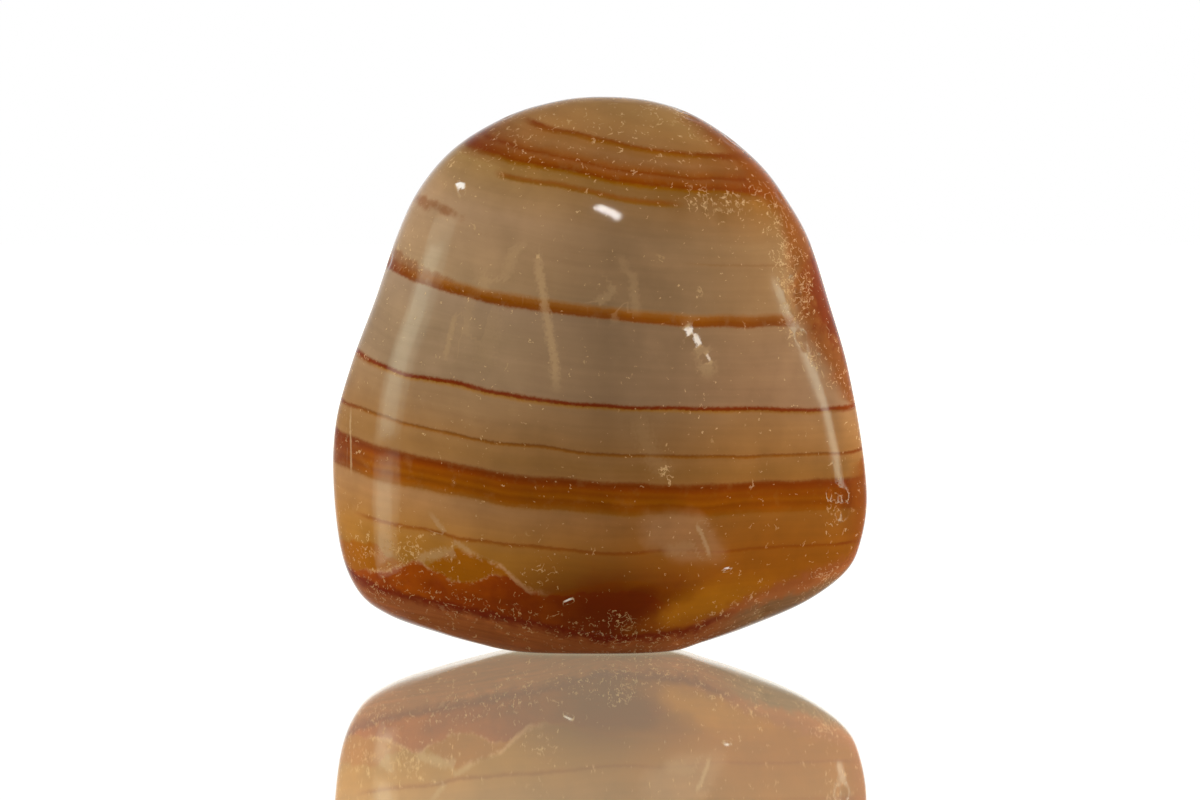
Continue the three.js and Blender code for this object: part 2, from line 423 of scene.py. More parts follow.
def surface_normals(points, faces):
    """Unit normals at the points: the sum of the cross products of the diagonals of the faces round each."""
    a, b, c, d = (points[faces[:, i]] for i in range(4))
    across = np.cross(c - a, d - b)
    total = np.zeros_like(points)
    for corner in range(4):
        np.add.at(total, faces[:, corner], across)
    return total / np.linalg.norm(total, axis=1, keepdims=True)


def smooth(low, high, value):
    """0 on low's side, 1 on high's side, and an even S-curve between them. Low may be the greater one."""
    part = np.clip((value - low) / (high - low), 0, 1)
    return part * part * (3 - 2 * part)


def plateau(start, full, still_full, stop, value):
    """0 outside start and stop, 1 from full to still_full, and even S-curves between them."""
    return smooth(start, full, value) * smooth(stop, still_full, value)


def value_noise(points, size, random):
    """Smooth random values from -1 to 1: random values at the corners of cubes, blended inside them."""
    lattice = random.uniform(-1, 1, (WAVE_REPEAT, WAVE_REPEAT, WAVE_REPEAT))
    cell = points / size
    low = np.floor(cell).astype(int)
    part = smooth(0, 1, cell - low)
    total = 0.0
    for corner in np.ndindex(2, 2, 2):
        share = np.prod(np.where(corner, part, 1 - part), axis=1)
        i, j, k = ((low + corner) % WAVE_REPEAT).T
        total = total + share * lattice[i, j, k]
    return total


def boundary(front, back, along, y):
    """Reads a boundary that is listed for the front and for the back. The two melt together at the rim."""
    ahead = np.interp(along, *np.array(front).T)
    behind = np.interp(along, *np.array(back).T)
    return ahead + (behind - ahead) * smooth(-BOUNDARY_FADE, BOUNDARY_FADE, y)


def near_path(x, z, path):
    """How each place lies to a path of straight pieces, in mm.

    Gives the distance from the path, the offset to its left, and the share of its length that lies before the
    place.
    """
    corners = np.array(path)
    lengths = np.hypot(*np.diff(corners, axis=0).T)
    before = np.concatenate([[0.0], np.cumsum(lengths)])
    nearest = np.full(x.shape, np.inf)
    offset = np.zeros(x.shape)
    share = np.zeros(x.shape)
    for i, length in enumerate(lengths):
        step = (corners[i + 1] - corners[i]) / length
        from_start = (x - corners[i, 0], z - corners[i, 1])
        along = np.clip(from_start[0] * step[0] + from_start[1] * step[1], 0, length)
        away = np.hypot(from_start[0] - along * step[0], from_start[1] - along * step[1])
        closer = away < nearest
        nearest = np.where(closer, away, nearest)
        offset = np.where(closer, from_start[1] * step[0] - from_start[0] * step[1], offset)
        share = np.where(closer, (before[i] + along) / before[-1], share)
    return nearest, offset, share


def spots(x, z, ellipses):
    """The greatest of the ellipses: each has its strength in the middle, 0 at its edge and less outside."""
    best = np.full(x.shape, -FAR_OUTSIDE)
    for middle_x, middle_z, wide, high, turn, strength in ellipses:
        turned = np.radians(turn)
        along = (x - middle_x) * np.cos(turned) + (z - middle_z) * np.sin(turned)
        aside = (z - middle_z) * np.cos(turned) - (x - middle_x) * np.sin(turned)
        best = np.maximum(best, strength * (1 - np.hypot(along / wide, aside / high)))
    return best


def only_where(share, field):
    """A stain's field as it is where the share is 1, and far below 0 where the share is 0."""
    return field - FAR_OUTSIDE * (1 - share)


def pale_streaks_and_glints(x, y, z):
    """The strongest pale mark near each place, a crack, a bruise or a painted glint: offset from its line in
    half widths of it, and strength.

    The strength is 0 at the mark's ends, away from its line and on the back.
    """
    offset = np.full(x.shape, PATH_REACH)
    strength = np.zeros(x.shape)
    for width, full, path in PALE_PATHS_AND_GLINTS:
        nearest, aside, share = near_path(x, z, path)
        within_ends = plateau(0, PATH_FADE, 1 - PATH_FADE, 1, share)
        reach = PATH_REACH * width
        here = full * within_ends * smooth(reach + PATH_FEATHER * width, reach, nearest)
        offset = np.where(here > strength, np.clip(aside / width, -PATH_REACH, PATH_REACH), offset)
        strength = np.maximum(strength, here)
    return offset, strength * smooth(0.5, -0.5, y)


def wear_crowd(x, y, z, to_rim):
    """How thickly bruises lie, from 0 to 1: thickest along the right edge, at the bevel and in WORN_SPOTS.

    Along the right edge they follow the stain's boundary, and are thickest below the crown.
    """
    rim = RIM_CROWD * smooth(0.8, 0.98, to_rim)
    off_edge = np.abs(x - boundary(EDGE_FRONT, EDGE_BACK, z, y))
    edge = smooth(1.5, 0.0, off_edge) * smooth(13, 16, z) * (0.6 + 0.7 * smooth(24, 21, z))
    below_bevel = boundary(BEVEL_FRONT, BEVEL_BACK, x, y) - z
    bevel = plateau(-1.6, -0.2, 0.8, 2.2, below_bevel) * BEVEL_CROWD
    crown = CROWN_CROWD * smooth(26.0, 27.6, z - BAND_LEAN_BACK * y)
    patches = np.clip(spots(x, z, WORN_SPOTS), 0, 1) * smooth(2.0, 0.0, y)
    return np.clip(LEAST_CROWD + np.maximum.reduce([rim, edge, bevel, crown, patches]), 0, 1)


def line_cover(x, front, level):
    """How strongly the coloured lines show, from 0 to 1: those in LINE_ENDS end inside the front."""
    cover = np.ones(x.shape)
    for levels, ends in LINE_ENDS:
        cover -= front * plateau(*levels, level) * smooth(*ends, x)
    return np.clip(cover, 0, 1)


def line_rust(x, to_rim):
    """How much rustier the lines are than their own colours, from 0 to 1: near the rim and on the right."""
    return np.clip(0.75 * smooth(0.84, 0.97, to_rim) + 0.3 * smooth(3.0, 9.0, x), 0, 1)


def stone_fields(points, to_rim):
    """The levels, stains, painted shade, painted glow and painted glints at each point of the stone, by name.

    The level of the bands is (z - lean * y + slope * x) / (1 - fan * x). The signed fields, those of the
    stains and of the painted shade and glow, are above 0 inside them. The thickness is that of the stone from
    front to back.
    """
    x, y, z = points.T
    front = smooth(FRONT_FADE, -FRONT_FADE, y)
    level = (z - BAND_LEAN_BACK * y + BAND_SLOPE * x) / (1 - BAND_FAN * x)
    rounding = (1 - to_rim**SIDE_FULLNESS) ** (1 / SIDE_FULLNESS)
    crack_and_glint_offset, crack_and_glint_strength = pale_streaks_and_glints(x, y, z)
    return {
        "band": level,
        "warmth": smooth(*WARMTH_RANGE, x),
        "cover": line_cover(x, front, level),
        "rusty": line_rust(x, to_rim),
        "amber": boundary(AMBER_FRONT, AMBER_BACK, x, y) - z,
        "rust": boundary(RUST_FRONT, RUST_BACK, x, y) - z,
        "pink": np.minimum(np.interp(x, *np.array(PINK_FRONT).T) - z, -2 * y),
        "bevel": boundary(BEVEL_FRONT, BEVEL_BACK, x, y) - z,
        "right_underside": smooth(*RIGHT_UNDERSIDE, x),
        "edge_stain": x - boundary(EDGE_FRONT, EDGE_BACK, z, y),
        "red_edge": only_where(smooth(*RED_EDGE_START, x), spots(y, z, RED_EDGE)),
        "left_rust": only_where(smooth(2.5, 0.5, y), spots(x, z, LEFT_RUST)),
        "dark": spots(x, z, DARK_PATCHES),
        "painted_glow": only_where(front, spots(x, z, PAINTED_GLOW_PATCHES)),
        "shard": only_where(front, spots(x, z, SHARD_PATCHES)),
        "shaded_middle": only_where(front, spots(x, z, SHADED_MIDDLE_PATCHES)),
        "healed_amber": plateau(*HEALED["amber"], x) * front,
        "healed_rust": plateau(*HEALED["rust"], x) * front,
        "crack_and_glint_offset": crack_and_glint_offset,
        "crack_and_glint_strength": crack_and_glint_strength,
        "wear": wear_crowd(x, y, z, to_rim),
        "thickness": (face_depth(FRONT_FACES, x, z) + face_depth(BACK_FACES, x, z)) * rounding,
    }


def worn(points, faces, wear, random):
    """Lowers the surface along its normals: slow and quick waves of the polish, and round dents.

    A dent of radius r takes away its depth times (1 - (distance/r)^2)^2. The flat foot stays where it is.
    """
    depth = LEAST_WEAR
    for size, half_height in (SLOW_WAVE, QUICK_WAVE):
        depth = depth + half_height * (1 + value_noise(points, size, random))
    chance = (wear + DENT_EVENNESS) ** 2
    middles = random.choice(len(points), DENTS, replace=False, p=chance / np.sum(chance))
    radii = random.uniform(*DENT_RADII, DENTS) ** 2 / DENT_RADII[1]
    for middle, radius in zip(points[middles], radii):
        away = np.linalg.norm(points - middle, axis=1) / radius
        depth = depth + DENT_STEEPNESS * radius * np.clip(1 - away**2, 0, 1) ** 2
    depth = depth * smooth(0.0, FOOT_FADE, points[:, 2])
    lowered = points - surface_normals(points, faces) * depth[:, None]
    lowered[:, 2] = np.maximum(lowered[:, 2], 0)
    return lowered


def stone_mesh():
    """The worn stone as a mesh in metres, with its fields as attributes of the points, and their names."""
    directions, faces = closed_grid()
    points = stone_points(directions)
    fields = stone_fields(points, way_to_rim(directions))
    points = worn(points, faces, fields["wear"], np.random.default_rng(RANDOM_SEED))
    mesh = bpy.data.meshes.new("sardonyx")
    mesh.from_pydata(points * MM, [], faces)
    for name, values in fields.items():
        mesh.attributes.new(name, "FLOAT", "POINT").data.foreach_set("value", values.astype(np.float32))
    mesh.polygons.foreach_set("use_smooth", np.ones(len(faces), bool))
    mesh.update()
    return mesh, list(fields)


def linear(hex_colour):
    """sRGB hex, such as #996e43, as linear red, green, blue and full alpha."""
    parts = np.array([int(hex_colour[i : i + 2], 16) for i in (1, 3, 5)]) / 255
    return (*np.where(parts <= 0.04045, parts / 12.92, ((parts + 0.055) / 1.055) ** 2.4), 1.0)


def socket(sockets, key):
    """The socket at a place in the list, or the first one in use that has a name."""
    return sockets[key] if isinstance(key, int) else next(s for s in sockets if s.enabled and s.name == key)


def add(tree, kind, inputs=None, **settings):
    """Adds a node with its settings. An input takes a value, a socket, or a node's first output in use."""
    made = tree.nodes.new(kind)
    for name, value in settings.items():
        setattr(made, name, value)
    for key, value in (inputs or {}).items():
        if isinstance(value, bpy.types.Node):
            value = next(s for s in value.outputs if s.enabled)
        if isinstance(value, bpy.types.NodeSocket):
            tree.links.new(value, socket(made.inputs, key))
        else:
            socket(made.inputs, key).default_value = value
    return made


def new_material(name):
    """A material with a Principled shader and nothing else, and its node tree and that shader."""
    material = bpy.data.materials.new(name)
    material.use_nodes = True
    tree = material.node_tree
    tree.nodes.clear()
    shader = add(tree, "ShaderNodeBsdfPrincipled")
    add(tree, "ShaderNodeOutputMaterial", {"Surface": shader})
    return material, tree, shader


def colour_ramp(tree, level, low, high, stops):
    """A colour ramp over the levels from low to high, with a stop for each level, colour and cover."""
    part = add(tree, "ShaderNodeMapRange", {"Value": level, "From Min": low, "From Max": high})
    ramp = add(tree, "ShaderNodeValToRGB", {"Fac": part})
    elements = ramp.color_ramp.elements
    while len(elements) < len(stops):
        elements.new(1.0)
    for element, (stop, colour, *cover) in zip(elements, stops):
        element.position = (stop - low) / (high - low)
        element.color = (*linear(colour)[:3], cover[0] if cover else 1.0)
    return ramp


def tint_patch(tree, colour, field, edge_noise, tint, wander, soft, strength=1.0):
    """Mixes a tint into the colour where the field is above 0.

    The noise moves the stain's edge to and fro within the width of wander, and the stain fades in over soft.
    """
    moved = add(tree, "ShaderNodeMath", {0: edge_noise, 1: wander, 2: field}, operation="MULTIPLY_ADD")
    start = (wander - soft) / 2
    full = (wander + soft) / 2
    limits = {"Value": moved, "From Min": start, "From Max": full, "To Max": strength}
    cover = add(tree, "ShaderNodeMapRange", limits, interpolation_type="SMOOTHSTEP")
    return add(tree, "ShaderNodeMix", {"Factor": cover, "A": colour, "B": tint}, data_type="RGBA")


def layered_patches(tree, colour, field, noise, rows):
    """Lays on each patch of a list in turn: stains, painted shade and painted glow."""
    for name, edge_noise, tint, wander, soft, strength in rows:
        colour = tint_patch(tree, colour, field[name], noise[edge_noise], linear(tint), wander, soft, strength)
    return colour


def healed_crack(tree, colour, field, edge_noise, tint, wander, width, share):
    """Mixes a tint into the colour along a stain's edge, as much as the share says."""
    moved = add(tree, "ShaderNodeMath", {0: edge_noise, 1: wander, 2: field}, operation="MULTIPLY_ADD")
    off_edge = add(tree, "ShaderNodeMath", {0: moved, 1: wander / 2}, operation="SUBTRACT")
    away = add(tree, "ShaderNodeMath", {0: off_edge}, operation="ABSOLUTE")
    limits = {"Value": away, "From Min": width, "From Max": 0.3 * width, "To Max": 0.75}
    line = add(tree, "ShaderNodeMapRange", limits)
    cover = add(tree, "ShaderNodeMath", {0: line, 1: share}, operation="MULTIPLY")
    return add(tree, "ShaderNodeMix", {"Factor": cover, "A": colour, "B": tint}, data_type="RGBA")


def drawn_out_noise(tree, place, level, swells, scale):
    """Noise in thin sheets that follow a level: many swells to a mm of the level, and few to a mm of x."""
    x = add(tree, "ShaderNodeSeparateXYZ", {0: place}).outputs["X"]
    along = add(tree, "ShaderNodeMath", {0: x, 1: SWELLS_ALONG}, operation="MULTIPLY")
    across = add(tree, "ShaderNodeMath", {0: level, 1: swells}, operation="MULTIPLY")
    sheet = add(tree, "ShaderNodeCombineXYZ", {0: along, 2: across})
    return add(tree, "ShaderNodeTexNoise", {"Vector": sheet, "Scale": scale, "Detail": 3.0})


def strokes(tree, place, density, cell, bow, half_length, thickness):
    """Cover of short bowed strokes: pieces of thin shells of radius bow, one in each of some random cells.

    A stroke fades over its outer part, across and towards its ends, and strokes differ in whiteness.
    """
    cells = add(tree, "ShaderNodeTexVoronoi", {"Vector": place, "Scale": 1 / cell})
    away = add(tree, "ShaderNodeVectorMath", {0: place, 1: cells.outputs["Position"]}, operation="SUBTRACT")
    random_colour = cells.outputs["Color"]
    centred = add(tree, "ShaderNodeVectorMath", {0: random_colour, 1: (0.5, 0.5, 0.5)}, operation="SUBTRACT")
    facing = add(tree, "ShaderNodeVectorMath", {0: centred}, operation="NORMALIZE")
    shell = {0: facing, 1: (-bow, -bow, -bow), 2: away}
    to_middle = add(tree, "ShaderNodeVectorMath", shell, operation="MULTIPLY_ADD")
    from_middle = add(tree, "ShaderNodeVectorMath", {0: to_middle}, operation="LENGTH").outputs["Value"]
    from_shell = add(tree, "ShaderNodeMath", {0: from_middle, 1: bow}, operation="SUBTRACT")
    off_shell = add(tree, "ShaderNodeMath", {0: from_shell}, operation="ABSOLUTE")
    line_limits = {"Value": off_shell, "From Min": thickness, "From Max": 0.4 * thickness}
    line = add(tree, "ShaderNodeMapRange", line_limits, interpolation_type="SMOOTHSTEP")
    distance = add(tree, "ShaderNodeVectorMath", {0: away}, operation="LENGTH").outputs["Value"]
    end_limits = {"Value": distance, "From Min": half_length, "From Max": 0.5 * half_length}
    end = add(tree, "ShaderNodeMapRange", end_limits)
    chance = add(tree, "ShaderNodeSeparateColor", {"Color": random_colour}).outputs
    there = add(tree, "ShaderNodeMath", {0: chance[0], 1: density}, operation="LESS_THAN")
    whiteness = add(tree, "ShaderNodeMapRange", {"Value": chance[2], "To Min": 0.25})
    piece = add(tree, "ShaderNodeMath", {0: line, 1: end}, operation="MULTIPLY")
    whitened = add(tree, "ShaderNodeMath", {0: piece, 1: whiteness}, operation="MULTIPLY")
    return add(tree, "ShaderNodeMath", {0: whitened, 1: there}, operation="MULTIPLY")


def scratches(tree, place, density):
    """Cover of short wriggly scratches: where one noise is near its middle and another one is high."""
    wander = add(tree, "ShaderNodeTexNoise", {"Vector": place, "Scale": 2.2, "Detail": 3.0})
    off_middle = add(tree, "ShaderNodeMath", {0: wander, 1: 0.5}, operation="SUBTRACT")
    away = add(tree, "ShaderNodeMath", {0: off_middle}, operation="ABSOLUTE")
    line_limits = {"Value": away, "From Min": 0.022, "From Max": 0.006}
    line = add(tree, "ShaderNodeMapRange", line_limits, interpolation_type="SMOOTHSTEP")
    pieces = add(tree, "ShaderNodeTexNoise", {"Vector": place, "Scale": 3.4, "Detail": 1.0})
    least = add(tree, "ShaderNodeMapRange", {"Value": density, "To Min": 0.68, "To Max": 0.36})
    above_least = add(tree, "ShaderNodeMath", {0: pieces, 1: least}, operation="SUBTRACT")
    piece = add(tree, "ShaderNodeMapRange", {"Value": above_least, "From Min": 0.0, "From Max": 0.05})
    return add(tree, "ShaderNodeMath", {0: line, 1: piece}, operation="MULTIPLY")


def band_level(tree, field, noise):
    """The bands' level at each place, with the slow swells and the fine jags that the lines have."""
    swell = {0: noise["slow"], 1: BAND_SWAY, 2: field["band"]}
    swayed = add(tree, "ShaderNodeMath", swell, operation="MULTIPLY_ADD")
    jags = {0: noise["fine"], 1: BAND_JAGS, 2: swayed}
    jagged = add(tree, "ShaderNodeMath", jags, operation="MULTIPLY_ADD")
    return add(tree, "ShaderNodeMath", {0: jagged, 1: (BAND_SWAY + BAND_JAGS) / 2}, operation="SUBTRACT")


def ground_colour(tree, field, noise, level):
    """The stone between its lines: greyer on the left, warmer on the right, and darkened and greyed in the
    middle by painted shade.
    """
    left = colour_ramp(tree, level, 0.0, TOP_BAND, GROUND_LEFT)
    right = colour_ramp(tree, level, 0.0, TOP_BAND, GROUND_RIGHT)
    sides = {"Factor": field["warmth"], "A": left, "B": right}
    ground = add(tree, "ShaderNodeMix", sides, data_type="RGBA")
    return layered_patches(tree, ground, field, noise, PAINTED_SHADE_ON_GROUND)


def coloured_lines(tree, colour, field, noise, level):
    """Lays the crisp lines over the ground. They thin out in places, and are rustier where the field says."""
    gap_limits = {"Value": noise["ragged"], "From Min": 0.3, "From Max": 0.45, "To Min": 0.8}
    gaps = add(tree, "ShaderNodeMapRange", gap_limits)
    cover = add(tree, "ShaderNodeMath", {0: field["cover"], 1: gaps}, operation="MULTIPLY")
    for stops, (low, high) in ((LOW_LINES, LOW_LINES_RANGE), (HIGH_LINES, HIGH_LINES_RANGE)):
        lines = colour_ramp(tree, level, low, high, stops)
        share = add(tree, "ShaderNodeMath", {0: lines.outputs["Alpha"], 1: cover}, operation="MULTIPLY")
        rusted = {"Factor": field["rusty"], "A": lines, "B": linear("#74300a")}
        tint = add(tree, "ShaderNodeMix", rusted, data_type="RGBA")
        colour = add(tree, "ShaderNodeMix", {"Factor": share, "A": colour, "B": tint}, data_type="RGBA")
    return colour


def painted_depth_shade(tree, colour, field):
    """Painted shade: darker colour where the stone is thick, for the light that comes back out of it less."""
    limits = {"Value": field["thickness"], "From Min": 12.5, "From Max": 16.0, "To Min": 1.0, "To Max": 0.8}
    depth_shade = add(tree, "ShaderNodeMapRange", limits, interpolation_type="SMOOTHSTEP")
    inputs = {"Factor": 1.0, "A": colour, "B": depth_shade}
    return add(tree, "ShaderNodeMix", inputs, data_type="RGBA", blend_type="MULTIPLY")


def rust_at_foot(tree, colour, field, noise):
    """The mottled rust under the amber, and the cream grains of healed cracks along both stains' edges."""
    mottled = add(tree, "ShaderNodeMapRange", {"Value": noise["patchy"], "From Min": 0.4, "From Max": 0.62})
    tints = {"Factor": mottled, "A": linear("#9a4604"), "B": linear("#823404")}
    rust = add(tree, "ShaderNodeMix", tints, data_type="RGBA")
    colour = tint_patch(tree, colour, field["rust"], noise["ragged"], rust, FOOT_WANDER, soft=0.15)
    grained = add(tree, "ShaderNodeMath", {0: noise["fine"], 1: noise["patchy"]}, operation="ADD")
    grains = add(tree, "ShaderNodeMapRange", {"Value": grained, "From Min": 0.86, "From Max": 1.12})
    for name, width in HEALED_WIDTHS.items():
        share = add(tree, "ShaderNodeMath", {0: grains, 1: field["healed_" + name]}, operation="MULTIPLY")
        cream = linear("#b8885a")
        colour = healed_crack(tree, colour, field[name], noise["ragged"], cream, FOOT_WANDER, width, share)
    return colour


def bevel_and_underside(tree, colour, field, noise, place):
    """The line of the lower bevel, dark red on the left and tan on the right, and the streaks below it."""
    tints = {"Factor": field["right_underside"], "A": linear("#681a06"), "B": linear("#a45e30")}
    bevel = add(tree, "ShaderNodeMix", tints, data_type="RGBA")
    ragged = noise["ragged"]
    colour = tint_patch(tree, colour, field["bevel"], ragged, bevel, FOOT_WANDER, soft=0.4, strength=0.85)
    tints = {"Factor": field["right_underside"], "A": linear("#9a562a"), "B": linear("#84603e")}
    plain = add(tree, "ShaderNodeMix", tints, data_type="RGBA")
    streaks = drawn_out_noise(tree, place, field["bevel"], swells=3.5, scale=2.0)
    limits = {"Value": streaks, "From Min": 0.35, "From Max": 0.65, "To Min": 0.86, "To Max": 1.16}
    streaked = add(tree, "ShaderNodeMapRange", limits)
    inputs = {"Factor": 1.0, "A": plain, "B": streaked}
    underside = add(tree, "ShaderNodeMix", inputs, data_type="RGBA", blend_type="MULTIPLY")
    below = add(tree, "ShaderNodeMath", {0: field["bevel"], 1: UNDERSIDE_DEPTH}, operation="SUBTRACT")
    return tint_patch(tree, colour, below, ragged, underside, wander=0.9, soft=0.6, strength=0.9)


def clouded(tree, colour, noise, level, place):
    """Lightens and darkens the colour a little, in thin sheets along the bands and in soft clouds."""
    sheets = drawn_out_noise(tree, place, level, swells=3.0, scale=1.0)
    sheet_limits = {"Value": sheets, "From Min": 0.3, "From Max": 0.7, "To Min": 0.95, "To Max": 1.05}
    sheet_shade = add(tree, "ShaderNodeMapRange", sheet_limits)
    cloud_limits = {"Value": noise["patchy"], "From Min": 0.3, "From Max": 0.7, "To Min": 0.9, "To Max": 1.1}
    cloud_shade = add(tree, "ShaderNodeMapRange", cloud_limits)
    shade = add(tree, "ShaderNodeMath", {0: sheet_shade, 1: cloud_shade}, operation="MULTIPLY")
    inputs = {"Factor": 1.0, "A": colour, "B": shade}
    return add(tree, "ShaderNodeMix", inputs, data_type="RGBA", blend_type="MULTIPLY")


def pale_cracks_and_glints(tree, colour, field, noise):
    """Draws the pale cracks and painted glints, frayed: cream, and frosted white where the strength is above
    1.
    """
    off_crack_and_glint = add(tree, "ShaderNodeMath", {0: field["crack_and_glint_offset"]}, operation="ABSOLUTE")
    frayed = add(tree, "ShaderNodeMath", {0: noise["fine"], 1: 2.4, 2: off_crack_and_glint}, operation="MULTIPLY_ADD")
    crack_and_glint_limits = {"Value": frayed, "From Min": 2.7, "From Max": 1.4}
    crack_and_glint_line = add(tree, "ShaderNodeMapRange", crack_and_glint_limits, interpolation_type="SMOOTHSTEP")
    cover = {0: crack_and_glint_line, 1: field["crack_and_glint_strength"]}
    share = add(tree, "ShaderNodeMath", cover, operation="MULTIPLY", use_clamp=True)
    frost_and_glint_limits = {"Value": field["crack_and_glint_strength"], "From Min": 1.0, "From Max": 2.0}
    frost_and_glint = add(tree, "ShaderNodeMapRange", frost_and_glint_limits)
    tints = {"Factor": frost_and_glint, "A": linear("#b8966c"), "B": linear("#f4ece4")}
    pale = add(tree, "ShaderNodeMix", tints, data_type="RGBA")
    return add(tree, "ShaderNodeMix", {"Factor": share, "A": colour, "B": pale}, data_type="RGBA")


def tumbling_marks(tree, field, noise, place):
    """Cover of the scratches alone, and of scratches and bruises together. Both crowd in patches."""
    offset = add(tree, "ShaderNodeTexNoise", {"Vector": place, "Scale": 3.2, "Detail": 3.0})
    bend = {0: offset.outputs["Color"], 1: (BRUISE_BEND, BRUISE_BEND, BRUISE_BEND), 2: place}
    bent = add(tree, "ShaderNodeVectorMath", bend, operation="MULTIPLY_ADD")
    limits = {"Value": noise["patchy"], "From Min": 0.38, "From Max": 0.62, "To Min": 0.45, "To Max": 1.5}
    crowd = add(tree, "ShaderNodeMapRange", limits)
    density = add(tree, "ShaderNodeMath", {0: field["wear"], 1: crowd}, operation="MULTIPLY")
    wriggles = scratches(tree, place, density)
    sparse = add(tree, "ShaderNodeMath", {0: density, 1: BRUISE_SHARE}, operation="MULTIPLY")
    marks = wriggles
    for cell, bow, half_length, thickness in BRUISES:
        kind = strokes(tree, bent, sparse, cell, bow, half_length, thickness)
        marks = add(tree, "ShaderNodeMath", {0: marks, 1: kind}, operation="MAXIMUM")
    return wriggles, marks


def banded_chalcedony(field_names):
    """Sardonyx, a banded chalcedony tumbled to a polish: waxy, faintly cloudy, with iron-stained bands.

    To the eye it is a warm grey-brown with crisp rust and honey lines, and cream bruises from the tumbling.
    Its colour also holds painted shade where the stone is thick and over the middle, a painted glow at the
    foot, and painted glints.
    """
    material, tree, shader = new_material("tumbled_banded_chalcedony")
    metres = add(tree, "ShaderNodeTexCoord").outputs["Object"]
    place = add(tree, "ShaderNodeVectorMath", {0: metres, "Scale": 1 / MM}, operation="SCALE")
    field = {}
    for name in field_names:
        field[name] = add(tree, "ShaderNodeAttribute", attribute_name=name).outputs["Fac"]
    noise = {}
    for name, (scale, detail, roughness) in NOISES.items():
        swells = {"Vector": place, "Scale": scale, "Detail": detail, "Roughness": roughness}
        noise[name] = add(tree, "ShaderNodeTexNoise", swells)

    level = band_level(tree, field, noise)
    colour = ground_colour(tree, field, noise, level)
    colour = coloured_lines(tree, colour, field, noise, level)
    # painted shade, darker where the stone is thick
    colour = painted_depth_shade(tree, colour, field)
    colour = layered_patches(tree, colour, field, noise, SIDE_STAINS)
    colour = rust_at_foot(tree, colour, field, noise)
    colour = layered_patches(tree, colour, field, noise, FOOT_STAINS_AND_GLOW)
    colour = bevel_and_underside(tree, colour, field, noise, place)
    colour = clouded(tree, colour, noise, level, place)
    colour = pale_cracks_and_glints(tree, colour, field, noise)

    wriggles, marks = tumbling_marks(tree, field, noise, place)
    marked = add(tree, "ShaderNodeMath", {0: marks, 1: MARK_COVER}, operation="MULTIPLY")
    half_cream = {"Factor": 0.5, "A": colour, "B": linear("#ecc488")}
    lighter = add(tree, "ShaderNodeMix", half_cream, data_type="RGBA")
    colour = add(tree, "ShaderNodeMix", {"Factor": marked, "A": colour, "B": lighter}, data_type="RGBA")
    grain = {0: wriggles, 1: -SCRATCH_DEPTH, 2: noise["fine"]}
    height = add(tree, "ShaderNodeMath", grain, operation="MULTIPLY_ADD")
    bump = add(tree, "ShaderNodeBump", {"Height": height, "Strength": 1.0, "Distance": GRAIN_HEIGHT * MM})
    frosting = {0: marks, 1: MARK_ROUGHNESS, 2: POLISH_ROUGHNESS}
    rough = add(tree, "ShaderNodeMath", frosting, operation="MULTIPLY_ADD")
    tree.links.new(socket(colour.outputs, "Result"), shader.inputs["Base Color"])
    tree.links.new(bump.outputs[0], shader.inputs["Normal"])
    tree.links.new(rough.outputs[0], shader.inputs["Roughness"])
    shader.inputs["IOR"].default_value = CHALCEDONY_IOR
    shader.inputs["Specular IOR Level"].default_value = POLISH_LEVEL
    return material


def glossy_white_panel():
    """White glazed glass that mirrors the stone. It glows as if lit from below; the glow is painted light: a
    pale veil over the mirror image, weakest near the stone, which paints a soft darker halo round it.
    """
    material, tree, shader = new_material("white_glossy_panel")
    shader.inputs["Base Color"].default_value = linear("#ffffff")
    shader.inputs["Metallic"].default_value = 1.0
    shader.inputs["Roughness"].default_value = 0.02
    shader.inputs["Emission Color"].default_value = linear("#fff2cc")
    place = add(tree, "ShaderNodeTexCoord").outputs["Object"]
    away = add(tree, "ShaderNodeVectorMath", {0: place}, operation="LENGTH").outputs["Value"]
    near, far = FLOOR_GLOW_REACH
    least, most = FLOOR_GLOW
    limits = {"Value": away, "From Min": near * MM, "From Max": far * MM, "To Min": least, "To Max": most}
    # painted light: the glow grows with distance from the stone, leaving a painted soft shade round it
    painted_glow = add(tree, "ShaderNodeMapRange", limits, interpolation_type="SMOOTHSTEP")
    tree.links.new(painted_glow.outputs[0], shader.inputs["Emission Strength"])
    return material


def make_floor():
    """One large square that the stone stands on."""
    half = FLOOR_HALF * MM
    corners = [(-half, -half, 0), (half, -half, 0), (half, half, 0), (-half, half, 0)]
    mesh = bpy.data.meshes.new("floor")
    mesh.from_pydata(corners, [], [(0, 1, 2, 3)])
    floor = bpy.data.objects.new("floor", mesh)
    bpy.context.scene.collection.objects.link(floor)
    mesh.materials.append(glossy_white_panel())


def aim(thing, place, target):
    """Puts a camera or a lamp at a place in mm and turns it to look at the target."""
    thing.location = Vector(place) * MM
    thing.rotation_euler = (Vector(target) - Vector(place)).to_track_quat("-Z", "Y").to_euler()


def make_camera():
    """A long lens that looks at the stone from the front."""
    data = bpy.data.cameras.new("camera")
    data.lens = CAMERA_LENS
    data.sensor_width = CAMERA_SENSOR
    data.clip_start = CAMERA_NEAR * MM
    camera = bpy.data.objects.new("camera", data)
    bpy.context.scene.collection.objects.link(camera)
    aim(camera, CAMERA_PLACE, CAMERA_TARGET)
    bpy.context.scene.camera = camera


